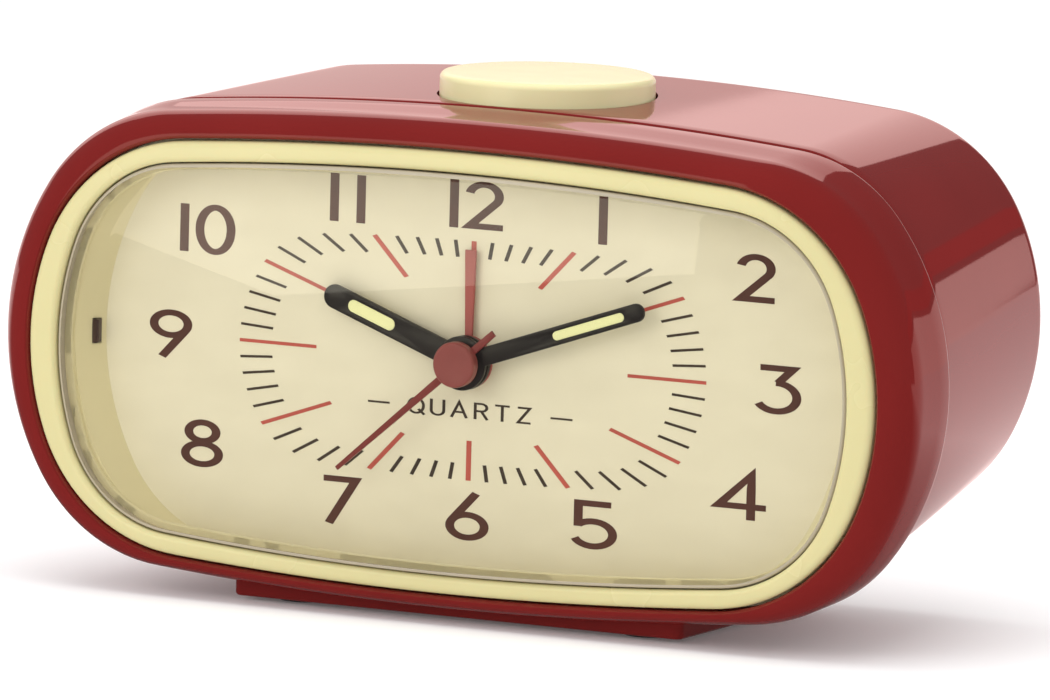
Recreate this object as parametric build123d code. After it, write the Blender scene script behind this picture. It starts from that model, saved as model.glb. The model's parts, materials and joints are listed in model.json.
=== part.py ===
from build123d import *
import os
from math import cos, pi, radians, sin, sqrt

# A battery-driven travel alarm clock. Millimetres, +Z up, the dial faces -Y.
# The origin is on the table, under the middle of the clock's bounding box.
# Every part is laid out from the hub: the axis of the hands, where it meets the dial's front face.
# Depth y grows away from the viewer and z grows upwards, both counted from the hub.

# ---------------------------------------------------------------- driving dimensions
HUB_Z = 36.2            # height of the hands' axis above the table
DIAL_Y = -21.25         # the dial's front face, in the clock's own frame
FRONT_Y = -9.0          # frontmost point: the crown of the lens
REAR_Y = 51.5           # rearmost point: the back of the setting knobs

# Ovals of tangent arcs: half width, half height, top arc, side arc and corner radii, centre height.
BEZEL_FRONT = (70.9, 34.1, 530, 38.5, 25.5, -0.65)
BEZEL_BACK = (71.5, 34.3, 520, 38.0, 22.5, 0.70)
TRIM_OUTER = (65.7, 30.8, 530, 37.5, 24.5, -0.90)
TRIM_INNER = (61.6, 28.1, 490, 42.0, 18.5, -1.05)
LENS_OUTER = (61.4, 27.9, 490, 41.8, 18.3, -1.05)
LENS_RIM_INNER = (60.0, 26.7, 488, 40.6, 17.1, -1.05)
CAVITY = (68.1, 32.1, 520, 38.0, 24.0, 0.30)
SURROUND_OUTER = (67.9, 31.9, 520, 37.8, 23.8, 0.30)
SURROUND_MOUTH = (60.2, 26.9, 488, 40.4, 17.0, -1.05)
RECESS_FRONT = (60.2, 30.2, 500, 40.0, 22.0, 0.0)
RECESS_BACK = (57.7, 30.2, 500, 38.0, 20.0, 0.0)
SPIGOT = (67.8, 31.8, 520, 37.7, 23.7, 0.30)
SHELL_FRONT = (70.0, 33.65, 510, 36.2, 19.5, 1.35)
SHELL_BACK = (65.9, 30.5, 465, 34.0, 24.0, 5.75)
INNER_FRONT = (66.0, 30.0, 508, 36.0, 20.0, 0.30)
INNER_BACK = (63.6, 28.2, 463, 32.0, 22.0, 5.75)

BEZEL_Y = -7.9          # front of the bezel before its edge is rounded
BEZEL_ROUND = 4.4       # radius of that rounding
TRIM_FRONT = -8.3       # the trim ring's front face
LIP_FRONT = -5.4        # the face of the dial surround that the lens and the trim ring stand on
LIP_BACK = -4.6
SEAM_BEZEL = 4.7        # the two edges of the seam between bezel and body
SEAM_SHELL = 5.2
SHELL_REAR = 46.8
REAR_ROUND = 2.6        # rounding of the body's rear edge
COVER_FRONT = 44.6
DIAL_T = 0.8
LENS_T = 1.5
LENS_SPHERE = 1265.0    # radius of the lens's gentle crown

PAD_H = 1.0
FIT = 0.08              # radial clearance of a running fit

# Hands: rest angle clockwise from twelve, front and back depth of the blade.
HOUR_ANGLE, HOUR_Y = 290.2, (-2.1, -1.6)
MINUTE_ANGLE, MINUTE_Y = 71.0, (-3.2, -2.7)
SECOND_ANGLE, SECOND_Y = 229.0, (-4.2, -3.8)
ALARM_ANGLE, ALARM_Y = 0.0, (-1.1, -0.7)
CAP_Y = (-5.6, -4.2)

# Concentric tubes on the hands' axis: outer radii, inside out.
ARBOR_R = 0.55
MINUTE_R = 1.25
HOUR_R = 2.0
ALARM_R = 2.82
TUBE_BORE = {"minute": ARBOR_R + FIT, "hour": MINUTE_R + FIT, "alarm": HOUR_R + FIT}

# Wheel centres, x and z from the hub.
KNOB_AT = 20.0          # distance of both setting knobs from the hub
MOTION_AT = 9.6
IDLER_AT = 12.4
TIME_DIR = (0.8, 0.6)
ALARM_DIR = (-0.8, 0.6)
THIRD_POS = (0.0, -7.48)
FOURTH_POS = (-6.5, 3.1)
ROTOR_POS = (-10.7, 3.1)

# Snooze and light button.
BUTTON_Y = 21.2
BUTTON_R = 15.1
BUTTON_TOP = 38.6       # above the hub
BUTTON_UNDER = 32.4
BRIDGE_Z = (26.2, 28.0)

# Battery bay: one AA cell lying across the clock.
CELL_R = 7.15
CELL_Y = 36.6
CELL_Z = -9.8
CELL_X = (-22.9, 26.3)
DOOR_X = 29.0
DOOR_Z = (-18.0, -1.0)  # hinge axis and free edge
DOOR_T = 1.8
DOOR_Y = 45.7           # depth of the door's mid plane and of its hinge axis

os.makedirs("parts", exist_ok=True)


# ---------------------------------------------------------------- helpers
def at(y, z=0.0):
    """The plane at depth y that looks at the viewer: its x is +X and its y is +Z."""
    return Plane(origin=(0, DIAL_Y + y, HUB_Z + z), x_dir=(1, 0, 0), z_dir=(0, -1, 0))


def prism(face, y0, y1, x=0.0, z=0.0):
    """A flat face pushed through the clock from depth y0 back to depth y1."""
    return extrude(at(y1) * Pos(x, z) * face, y1 - y0)


def rod(r, y0, y1, x=0.0, z=0.0):
    return prism(Circle(r), y0, y1, x, z)


def tube(r, bore, y0, y1, x=0.0, z=0.0):
    return prism(Circle(r) - Circle(bore), y0, y1, x, z)


def block(x0, x1, y0, y1, z0, z1):
    centre = Pos((x0 + x1) / 2, DIAL_Y + (y0 + y1) / 2, HUB_Z + (z0 + z1) / 2)
    return centre * Box(x1 - x0, y1 - y0, z1 - z0)


def puck(r, z0, z1, x=0.0, y=BUTTON_Y):
    """An upright cylinder between two heights."""
    return Pos(x, DIAL_Y + y, HUB_Z + (z0 + z1) / 2) * Cylinder(r, z1 - z0)


def oval(half_w, half_h, top_r, side_r, corner_r, rise):
    """A rounded rectangle of eight tangent arcs, its middle raised by rise."""
    top = Vector(0, half_h - top_r)
    side = Vector(half_w - side_r, 0)
    span = (side - top).length
    along = (side - top).normalized()
    reach_top, reach_side = top_r - corner_r, side_r - corner_r
    foot = (reach_top ** 2 - reach_side ** 2 + span ** 2) / (2 * span)
    off = sqrt(reach_top ** 2 - foot ** 2)
    corner = top + along * foot + Vector(along.Y, -along.X) * off
    to_top = (corner - top).normalized()
    to_side = (corner - side).normalized()
    a = corner + to_top * corner_r
    m = corner + (to_top + to_side).normalized() * corner_r
    b = corner + to_side * corner_r

    def put(point, sx, sy):
        return (point.X * sx, point.Y * sy + rise)

    arcs = []
    for s in (1, -1):
        arcs.append(ThreePointArc(put(a, -s, s), put(Vector(0, half_h), s, s), put(a, s, s)))
        arcs.append(ThreePointArc(put(a, s, s), put(m, s, s), put(b, s, s)))
        arcs.append(ThreePointArc(put(b, s, s), put(Vector(half_w, 0), s, s), put(b, s, -s)))
        arcs.append(ThreePointArc(put(b, s, -s), put(m, s, -s), put(a, s, -s)))
    return make_face(arcs)


def oval_block(shape, y0, y1):
    return prism(oval(*shape), y0, y1)


def oval_loft(sections):
    return loft([at(y) * oval(*shape) for y, shape in sections], ruled=True)


def blend(front, back, y_front, y_back, y):
    """The oval between two ovals, at depth y on the straight line through both."""
    t = (y - y_front) / (y_back - y_front)
    return tuple(f + (b - f) * t for f, b in zip(front, back))


def slot_face(width, near, far):
    """A slot with round ends, pointing up, its end centres at near and far."""
    return Pos(0, (near + far) / 2) * Rot(0, 0, 90) * SlotCenterToCenter(far - near, width)


def pointer(face, angle, span):
    """A hand's flat shape, drawn pointing at twelve, turned clockwise to its rest angle."""
    return extrude(at(span[1]) * Rot(0, 0, -angle) * face, span[1] - span[0])


def toothed(teeth, module):
    """A spur wheel's face. Its tips stay just inside the pitch circle, so meshing wheels clear."""
    tip = teeth * module / 2 - 0.04
    root = tip - 1.5 * module
    step = 2 * pi / teeth
    points = []
    for tooth in range(teeth):
        for share, radius in ((-0.30, root), (-0.14, tip), (0.14, tip), (0.30, root)):
            turn = (tooth + share) * step
            points.append((radius * cos(turn), radius * sin(turn)))
    return make_face(Polyline(*points, close=True))


def wheel(teeth, module, y0, y1, x=0.0, z=0.0):
    return prism(toothed(teeth, module), y0, y1, x, z)


def screw(r_head, head_h, r_shank, length, y_seat, x, z):
    """A pan-head screw driven towards the front, its head seated at depth y_seat, cross slot cut."""
    body = rod(r_head, y_seat, y_seat + head_h, x, z) + rod(r_shank, y_seat - length, y_seat, x, z)
    for size in ((1.6 * r_head, 0.5), (0.5, 1.6 * r_head)):
        cut = Rectangle(*size)
        body -= prism(cut, y_seat + head_h - 0.6, y_seat + head_h + 0.1, x, z)
    return body


def coil_spring(radius, wire, height, turns, place):
    """A compression spring standing on its own base, then carried to its place."""
    path = Helix(pitch=(height - wire) / turns, height=height - wire, radius=radius)
    start = Plane(origin=path @ 0, z_dir=path % 0)
    return place * Pos(0, 0, wire / 2) * sweep(start * Circle(wire / 2), path=path)


def time_at(distance):
    return distance * TIME_DIR[0], distance * TIME_DIR[1]


def alarm_at(distance):
    return distance * ALARM_DIR[0], distance * ALARM_DIR[1]


def save(name, shape):
    if isinstance(shape, (list, ShapeList)):
        shape = Compound(children=list(shape))
    shape.label = name
    export_step(shape, f"parts/{name}.step")
    print(name, len(shape.solids()), round(shape.volume, 1))
    return shape


TIME_KNOB = time_at(KNOB_AT)
ALARM_KNOB = alarm_at(KNOB_AT)
MOTION = time_at(MOTION_AT)
IDLER = alarm_at(IDLER_AT)
MOVEMENT_SCREWS = [(x, z) for x in (-22.5, 22.5) for z in (-19.5, 17.5)]
COVER_SCREWS = [(x, z) for x in (-58.4, 58.4) for z in (-4.0, 16.0)]
DIAL_SCREWS = [(x, z) for x in (-60.0, 60.0) for z in (-12.0, 12.0)]
PAD_SPOTS = [(x, y) for x in (-27.0, 27.0) for y in (4.0, 33.0)]
PLINTH_SCREWS = (12.0, 29.0)
BRIDGE_POSTS = (-19.0, 19.0)


# ---------------------------------------------------------------- case
def outer_bezel():
    """The bezel's outer skin, generously rounded in front and eased at the seam."""
    skin = oval_loft([(BEZEL_Y, BEZEL_FRONT), (SEAM_BEZEL, BEZEL_BACK)])
    front = skin.faces().sort_by(Axis.Y)[0]
    skin = fillet(front.edges(), BEZEL_ROUND)
    back = skin.faces().sort_by(Axis.Y)[-1]
    return fillet(back.edges(), 0.8)


def outer_shell():
    """The body's outer skin: a straight taper, closed by a rounded rear edge."""
    y_round = SHELL_REAR - REAR_ROUND
    sections = [(SEAM_SHELL, SHELL_FRONT)]
    for turn in (0, 30, 60, 90):
        inset = REAR_ROUND * (1 - cos(radians(turn)))
        y = y_round + REAR_ROUND * sin(radians(turn))
        shape = blend(SHELL_FRONT, SHELL_BACK, SEAM_SHELL, 44.0, y)
        sections.append((y, tuple(v - inset if i < 5 else v for i, v in enumerate(shape))))
    skin = oval_loft(sections)
    front = skin.faces().sort_by(Axis.Y)[0]
    return fillet(front.edges(), 0.5)


def front_bezel():
    body = outer_bezel()
    hole = tuple(v + 0.3 if i < 5 else v for i, v in enumerate(TRIM_OUTER))
    body = body - oval_block(hole, FRONT_Y, 0)
    return body - oval_block(CAVITY, LIP_FRONT, SHELL_REAR)


def trim_ring():
    ring = oval_block(TRIM_OUTER, TRIM_FRONT, LIP_FRONT) - oval_block(TRIM_INNER, FRONT_Y, 0)
    front = ring.faces().sort_by(Axis.Y)[0]
    return fillet(front.edges(), 0.9)


def lens():
    centre = Pos(0, DIAL_Y + FRONT_Y + LENS_SPHERE, HUB_Z - 1.05)
    crown = centre * Sphere(LENS_SPHERE)
    back = centre * Sphere(LENS_SPHERE - LENS_T)
    plate = oval_block(LENS_OUTER, FRONT_Y - 1, LIP_FRONT)
    pane = (plate & crown) - back
    rim = oval_block(LENS_OUTER, -7.0, LIP_FRONT) - oval_block(LENS_RIM_INNER, -8.0, 0)
    return pane + (rim & crown)


def dial_surround():
    ring = oval_block(SURROUND_OUTER, LIP_FRONT, 0) - oval_block(SURROUND_MOUTH, LIP_FRONT - 1, 0)
    ring -= oval_loft([(LIP_BACK, RECESS_FRONT), (0.0, RECESS_BACK)])
    for x, z in DIAL_SCREWS:
        ring -= rod(1.0, -3.4, 0, x, z)
    return ring - block(-64.0, -55.0, -2.1, -0.7, -2.2, 1.4)


def dial_lamp():
    """The small lamp that looks out of the left wall, just in front of the dial."""
    return fillet(block(-62.0, -57.9, -2.05, -0.75, -2.1, 1.3).edges().group_by(Axis.X)[-1], 0.3)


def dial_plate():
    outline = (66.2, 30.9, 518, 36.5, 22.5, 0.30)
    plate = oval_block(outline, 0, DIAL_T) - rod(3.4, -1, 2)
    for x, z in DIAL_SCREWS:
        plate -= rod(1.1, -1, 2, x, z)
    return plate


def body_shell():
    rear = blend(INNER_FRONT, INNER_BACK, 1.6, 44.0, SHELL_REAR + 0.5)
    body = outer_shell() + oval_block(SPIGOT, 1.6, SEAM_SHELL + 1.0)
    body -= oval_loft([(1.5, INNER_FRONT), (SHELL_REAR + 0.5, rear)])
    skin = outer_shell()
    for x, z in COVER_SCREWS:
        body += (rod(4.0, 26.0, COVER_FRONT, x, z) & skin) - rod(1.2, 30.0, COVER_FRONT + 1, x, z)
        body -= rod(1.2, 30.0, COVER_FRONT + 1, x, z)
    for x in BRIDGE_POSTS:
        body += puck(3.2, BRIDGE_Z[1], 33.0, x) - puck(1.0, BRIDGE_Z[1] - 1, 31.0, x)
        body -= puck(1.0, BRIDGE_Z[1] - 1, 31.0, x)
    for y in PLINTH_SCREWS:
        body += puck(3.2, -32.0, -24.0, 0, y) & skin
        body -= puck(1.2, -34.0, -24.8, 0, y)
    return body - puck(BUTTON_R + 0.35, 29.0, 40.0)


def rear_cover():
    outline = blend(INNER_FRONT, INNER_BACK, 1.6, 44.0, SHELL_REAR)
    outline = tuple(v - 0.2 if i < 5 else v for i, v in enumerate(outline))
    plate = oval_block(outline, COVER_FRONT, SHELL_REAR)
    for x, z in COVER_SCREWS:
        plate -= rod(1.7, 40, 50, x, z)
    for x, z in (TIME_KNOB, ALARM_KNOB):
        plate -= rod(2.0 + FIT, 40, 50, x, z)
        plate += tube(3.6, 2.0 + FIT, COVER_FRONT - 2.0, COVER_FRONT, x, z)
    plate -= block(-4.6, 4.6, 40, 50, 22.4, 25.6)
    plate -= block(-DOOR_X - 0.4, DOOR_X + 0.4, 40, 50, DOOR_Z[0] - 1.5, DOOR_Z[1] + 0.4)
    for x in (-DOOR_X - 1.0, DOOR_X + 1.0):
        pin_hole = Pos(x, DIAL_Y + DOOR_Y, HUB_Z + DOOR_Z[0]) * Rot(0, 90, 0) * Cylinder(0.6 + FIT, 2.4)
        plate -= pin_hole
    return plate


def plinth():
    """The foot moulding: level below, hollowed above to the underside of bezel and body."""
    length = 70.0
    foot = block(-length / 2, length / 2, -3.0, 39.0, -35.6, -22.0)
    foot = fillet(foot.edges().filter_by(Axis.Z), 1.2)
    skirt = foot.faces().sort_by(Axis.Z)[0]
    foot = fillet(skirt.edges(), 0.5)
    hull = outer_bezel() + outer_shell() + oval_block(SPIGOT, 1.6, SEAM_SHELL + 1.0)
    foot -= hull
    foot = foot.solids().sort_by(Axis.Z)[0]
    for x, y in PAD_SPOTS:
        foot -= puck(4.2, -36.0, -35.2, x, y)
    for y in PLINTH_SCREWS:
        foot -= puck(1.6, -36.0, -24.0, 0, y) + puck(3.1, -36.0, -33.4, 0, y)
    return foot


def foot_pads():
    return [puck(4.0, -36.2, -36.2 + PAD_H, x, y) for x, y in PAD_SPOTS]


# ---------------------------------------------------------------- snooze button
def snooze_button():
    cap = puck(BUTTON_R, BUTTON_UNDER, BUTTON_TOP)
    cap = fillet(cap.edges().sort_by(Axis.Z)[-1], 0.9)
    cap -= puck(BUTTON_R - 1.6, BUTTON_UNDER - 1, BUTTON_TOP - 2.0)
    return cap + puck(5.6, BUTTON_UNDER, BUTTON_TOP - 1.0) + puck(2.5, 25.0, BUTTON_UNDER)


def button_clip():
    return puck(4.0, 25.2, 25.8) - puck(2.5, 25.0, 26.0)


def button_bridge():
    bar = block(-24, 24, BUTTON_Y - 5, BUTTON_Y + 5, *BRIDGE_Z)
    bar = fillet(bar.edges().filter_by(Axis.Z), 3.0)
    bar -= puck(2.5 + FIT, 20, 30)
    for x in BRIDGE_POSTS:
        bar -= puck(1.3, 20, 30, x)
    return bar


def bridge_screws():
    return [puck(2.4, BRIDGE_Z[0] - 1.4, BRIDGE_Z[0], x) + puck(1.0, BRIDGE_Z[0], 30.6, x)
            for x in BRIDGE_POSTS]


def button_spring():
    base = Pos(0, DIAL_Y + BUTTON_Y, HUB_Z + BRIDGE_Z[1])
    return coil_spring(3.9, 0.5, BUTTON_UNDER - BRIDGE_Z[1], 3.5, base)


def light_switch():
    board = block(-8, 8, BUTTON_Y - 5, BUTTON_Y + 5, 20.5, 21.6)
    tact = block(-3, 3, BUTTON_Y - 3, BUTTON_Y + 3, 21.6, 22.8)
    return board + tact + puck(1.6, 22.8, 23.2)


# ---------------------------------------------------------------- battery bay
def battery_tray():
    tray = block(-30.5, 30.5, 27.8, COVER_FRONT, -18.6, -1.0)
    tray -= block(-29.1, 29.1, 29.2, COVER_FRONT + 1, -17.3, -2.3)
    return fillet(tray.edges().filter_by(Axis.Y), 0.6)


def battery_cell():
    body = Rot(0, 90, 0) * Cylinder(CELL_R, CELL_X[1] - CELL_X[0])
    body = fillet(body.edges(), 0.6)
    nub = Pos((CELL_X[1] - CELL_X[0]) / 2 + 0.6, 0, 0) * Rot(0, 90, 0) * Cylinder(2.75, 1.4)
    place = Pos((CELL_X[0] + CELL_X[1]) / 2, DIAL_Y + CELL_Y, HUB_Z + CELL_Z)
    return place * (body + nub)


def contact_plus():
    tab = block(27.7, 28.1, CELL_Y - 4, CELL_Y + 4, CELL_Z - 5, CELL_Z + 5)
    return tab + block(28.1, 29.1, CELL_Y - 1.5, CELL_Y + 1.5, CELL_Z - 3, CELL_Z + 3)


def contact_minus():
    place = Pos(-29.1, DIAL_Y + CELL_Y, HUB_Z + CELL_Z) * Rot(0, 90, 0)
    return coil_spring(3.6, 0.6, CELL_X[0] + 29.1, 4, place)


def battery_door():
    """A flat door on two pins along its lower edge, with a finger notch at its free edge."""
    panel = block(-DOOR_X, DOOR_X, DOOR_Y - DOOR_T / 2, DOOR_Y + DOOR_T / 2, *DOOR_Z)
    axis = Pos(0, DIAL_Y + DOOR_Y, HUB_Z + DOOR_Z[0]) * Rot(0, 90, 0)
    panel += axis * Cylinder(DOOR_T / 2, 2 * DOOR_X)
    panel += axis * Cylinder(0.6, 2 * DOOR_X + 1.8)
    notch = Pos(0, DIAL_Y + DOOR_Y + DOOR_T / 2, HUB_Z + DOOR_Z[1] - 3.5) * Rot(0, 90, 0)
    return panel - notch * Cylinder(1.1, 14)


# ---------------------------------------------------------------- rear controls
def setting_stem(spot, pinion):
    """A stem from its pinion in the movement out through the rear cover."""
    x, z = spot
    stem = rod(2.0, pinion[1], 48.0, x, z) + wheel(16, 0.4, *pinion, x, z)
    return stem + rod(1.0, pinion[0] - 0.8, pinion[0], x, z)


def setting_knob(spot):
    x, z = spot
    knob = rod(6.6, 47.4, REAR_Y, x, z)
    knob = fillet(knob.edges().sort_by(Axis.Y)[-1], 0.7)
    for step in range(24):
        turn = 2 * pi * step / 24
        knob -= rod(0.42, 47.0, REAR_Y + 1, x + 6.75 * cos(turn), z + 6.75 * sin(turn))
    return knob - rod(2.0, 46.0, 48.0, x, z)


def alarm_slider():
    thumb = block(-4.2, -0.2, 43.6, 48.4, 22.6, 25.4)
    return thumb + block(-6.4, 2.0, 42.6, 43.6, 21.6, 26.4)


def alarm_switch():
    body = block(-8.5, 8.5, 38.0, 42.4, 20.6, 27.0)
    for x in (-8.5, 8.0):
        body += block(x, x + 0.5, 42.4, COVER_FRONT, 20.6, 27.0)
    return body


# ---------------------------------------------------------------- movement frame
def movement_plate(y0, y1, clearances):
    plate = block(-24.4, 24.4, y0, y1, -21.4, 19.4)
    for x, z in MOVEMENT_SCREWS:
        plate -= rod(1.0 + FIT, y0 - 1, y1 + 1, x, z)
    for r, x, z in clearances:
        plate -= rod(r, y0 - 1, y1 + 1, x, z)
    return plate


def movement_front():
    holes = [(2.9, 0, 0), (0.6 + FIT, *MOTION), (0.6 + FIT, *IDLER)]
    plate = block(-25.5, 25.5, DIAL_T, 2.6, -22.5, 20.5)
    for x, z in MOVEMENT_SCREWS:
        plate -= rod(0.9, 1.2, 3, x, z)
    for r, x, z in holes:
        plate -= rod(r, 0, 3, x, z)
    return plate + tube(3.3, ALARM_R + FIT, -0.4, 2.6)


def movement_middle():
    return movement_plate(10.5, 11.1, [
        (1.0, 0, 0), (0.5 + FIT, *THIRD_POS), (0.5 + FIT, *FOURTH_POS), (0.4 + FIT, *ROTOR_POS),
        (0.6 + FIT, *MOTION), (2.0 + FIT, *TIME_KNOB), (2.0 + FIT, *ALARM_KNOB),
    ])


def movement_bridge():
    return movement_plate(16.8, 17.6, [
        (ARBOR_R + FIT, 0, 0), (0.5 + FIT, *THIRD_POS), (0.5 + FIT, *FOURTH_POS),
        (0.4 + FIT, *ROTOR_POS), (2.0 + FIT, *TIME_KNOB), (2.0 + FIT, *ALARM_KNOB),
    ])


def movement_housing():
    cup = block(-25.5, 25.5, 2.6, 20.0, -22.5, 20.5)
    cup = fillet(cup.edges().filter_by(Axis.Y), 2.0)
    cup -= block(-24.5, 24.5, 2.0, 18.6, -21.5, 19.5)
    for x, z in MOVEMENT_SCREWS:
        cup += tube(2.2, 1.0 + FIT, 17.6, 19.0, x, z)
        cup -= rod(1.0 + FIT, 10, 21, x, z)
    for x, z in (TIME_KNOB, ALARM_KNOB):
        cup -= rod(2.0 + FIT, 10, 21, x, z)
    return cup


def plate_spacers():
    """Tubes that hold the three plates apart."""
    gaps = ((2.6, 10.5), (11.1, 16.8))
    return [tube(1.7, 1.0 + FIT, y0, y1, x, z) for x, z in MOVEMENT_SCREWS for y0, y1 in gaps]


# ---------------------------------------------------------------- stepping motor and wheels
def stator():
    x, z = ROTOR_POS
    plate = block(-21, -5.6, 14.9, 15.7, -18, 7.5) - block(-17, -8.4, 14, 17, -15.6, -1.5)
    return plate - rod(2.7, 14, 17, x, z) - rod(0.7, 14, 17, *FOURTH_POS)


def coil():
    """Bobbin and winding on the stator's left limb."""
    spool = block(-22.8, -15.2, 11.9, 16.6, -14.8, -3.0) - block(-22.0, -16.0, 12.9, 15.8, -13.8, -4.0)
    winding = block(-22.6, -15.4, 12.1, 16.4, -13.8, -4.0)
    body = spool + winding
    return body - block(-21, -17, 14.9, 15.7, -20, 10)


def rotor():
    x, z = ROTOR_POS
    magnet = rod(2.2, 14.3, 16.3, x, z)
    return magnet + rod(0.4, 10.5, 17.5, x, z) + wheel(6, 0.2, 12.9, 14.0, x, z)


def fourth_wheel():
    x, z = FOURTH_POS
    body = rod(0.5, 10.5, 17.5, x, z) + wheel(12, 0.2, 11.5, 12.6, x, z)
    return body + wheel(36, 0.2, 13.0, 13.8, x, z)


def second_wheel():
    body = rod(ARBOR_R, -4.6, 17.5) + wheel(60, 0.2, 11.6, 12.4)
    return body + wheel(8, 0.22, 13.0, 14.4)


def third_wheel():
    x, z = THIRD_POS
    body = rod(0.5, 8.8, 17.5, x, z) + wheel(60, 0.22, 13.3, 14.1, x, z)
    return body + wheel(8, 0.2078, 9.1, 10.2, x, z)


def centre_wheel():
    return wheel(64, 0.2078, 9.3, 10.1) - rod(MINUTE_R + FIT, 8, 12)


def minute_tube():
    body = rod(MINUTE_R, -3.4, 10.2) + wheel(12, 0.4, 7.2, 8.6)
    return body - rod(TUBE_BORE["minute"], -5, 12)


def motion_wheel():
    x, z = MOTION
    body = rod(0.6, 1.4, 11.0, x, z) + wheel(36, 0.4, 7.4, 8.4, x, z)
    return body + wheel(10, 0.384, 5.2, 6.6, x, z)


def hour_wheel():
    body = rod(HOUR_R, -2.3, 6.6) + wheel(40, 0.384, 5.4, 6.4)
    return body - rod(TUBE_BORE["hour"], -5, 12)


def alarm_wheel():
    body = rod(ALARM_R, -1.3, 4.6) + wheel(40, 0.4, 3.4, 4.4)
    return body - rod(TUBE_BORE["alarm"], -5, 12)


def alarm_idler():
    x, z = IDLER
    return rod(0.6, 1.4, 5.2, x, z) + wheel(22, 0.4, 3.4, 4.4, x, z)


def circuit_board():
    board = block(3, 23.5, 17.6, 18.5, -20.5, -8.5)
    return board - rod(2.6, 17, 19, *MOVEMENT_SCREWS[2])


def buzzer():
    can = rod(10.5, 20.0, 24.4, 0, -8.0)
    return can - rod(1.6, 23.4, 25, 0, -8.0)


# ---------------------------------------------------------------- hands
def hour_hand():
    blade = slot_face(3.4, 0, 21.9) + Circle(3.8)
    return pointer(blade - Circle(HOUR_R) - slot_face(1.75, 12.7, 18.7), HOUR_ANGLE, HOUR_Y)


def hour_lume():
    return pointer(slot_face(1.75, 12.7, 18.7), HOUR_ANGLE, (HOUR_Y[0] + 0.1, HOUR_Y[1] - 0.1))


def minute_hand():
    blade = slot_face(2.6, 0, 28.35) + Circle(3.8)
    return pointer(blade - Circle(MINUTE_R) - slot_face(1.3, 15.6, 25.8), MINUTE_ANGLE, MINUTE_Y)


def minute_lume():
    return pointer(slot_face(1.3, 15.6, 25.8), MINUTE_ANGLE, (MINUTE_Y[0] + 0.1, MINUTE_Y[1] - 0.1))


def second_hand():
    tip = Polygon((-0.45, -7.2), (0.45, -7.2), (0.30, 24.6), (-0.30, 24.6), align=None)
    return pointer(tip + Circle(1.6) - Circle(ARBOR_R), SECOND_ANGLE, SECOND_Y)


def second_cap():
    cap = rod(3.2, *CAP_Y)
    cap = fillet(cap.edges().sort_by(Axis.Y)[0], 0.4)
    return cap - rod(ARBOR_R, SECOND_Y[0] - 0.5, 0)


def alarm_hand():
    blade = Polygon((-0.55, 0), (0.55, 0), (0.85, 15.6), (-0.85, 15.6), align=None)
    return pointer(blade + Circle(3.7) - Circle(ALARM_R), ALARM_ANGLE, ALARM_Y)


# ---------------------------------------------------------------- fasteners
def cover_screws():
    return [screw(2.6, 1.5, 1.2, 12.0, SHELL_REAR, x, z) for x, z in COVER_SCREWS]


def movement_screws():
    return [screw(1.8, 1.2, 0.9, 18.5, 20.0, x, z) for x, z in MOVEMENT_SCREWS]


def dial_screws():
    return [screw(1.9, 1.0, 1.0, 4.0, DIAL_T, x, z) for x, z in DIAL_SCREWS]


def plinth_screws():
    return [puck(2.8, -35.0, -33.4, 0, y) + puck(1.2, -33.4, -25.2, 0, y) for y in PLINTH_SCREWS]


# ---------------------------------------------------------------- write every node
NODES = {
    "front_bezel": front_bezel, "trim_ring": trim_ring, "lens": lens,
    "dial_surround": dial_surround, "dial_lamp": dial_lamp, "dial_plate": dial_plate,
    "body_shell": body_shell, "rear_cover": rear_cover, "plinth": plinth, "foot_pads": foot_pads,
    "snooze_button": snooze_button, "button_clip": button_clip, "button_bridge": button_bridge,
    "bridge_screws": bridge_screws, "button_spring": button_spring, "light_switch": light_switch,
    "battery_tray": battery_tray, "battery_cell": battery_cell, "contact_plus": contact_plus,
    "contact_minus": contact_minus, "battery_door": battery_door,
    "alarm_slider": alarm_slider, "alarm_switch": alarm_switch,
    "movement_front": movement_front, "movement_middle": movement_middle,
    "movement_bridge": movement_bridge, "movement_housing": movement_housing,
    "plate_spacers": plate_spacers, "stator": stator, "coil": coil, "rotor": rotor,
    "fourth_wheel": fourth_wheel, "second_wheel": second_wheel, "third_wheel": third_wheel,
    "centre_wheel": centre_wheel, "minute_tube": minute_tube, "motion_wheel": motion_wheel,
    "hour_wheel": hour_wheel, "alarm_wheel": alarm_wheel, "alarm_idler": alarm_idler,
    "circuit_board": circuit_board, "buzzer": buzzer,
    "hour_hand": hour_hand, "hour_lume": hour_lume, "minute_hand": minute_hand,
    "minute_lume": minute_lume, "second_hand": second_hand, "second_cap": second_cap,
    "alarm_hand": alarm_hand, "cover_screws": cover_screws, "movement_screws": movement_screws,
    "dial_screws": dial_screws, "plinth_screws": plinth_screws,
}
for node, make in NODES.items():
    save(node, make())

save("time_stem", setting_stem(TIME_KNOB, (7.3, 8.5)))
save("time_knob", setting_knob(TIME_KNOB))
save("alarm_stem", setting_stem(ALARM_KNOB, (3.4, 4.4)))
save("alarm_knob", setting_knob(ALARM_KNOB))
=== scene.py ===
import json
from math import atan2, cos, pi, radians, sin, sqrt

import bmesh
import bpy
from mathutils import Matrix, Vector


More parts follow.
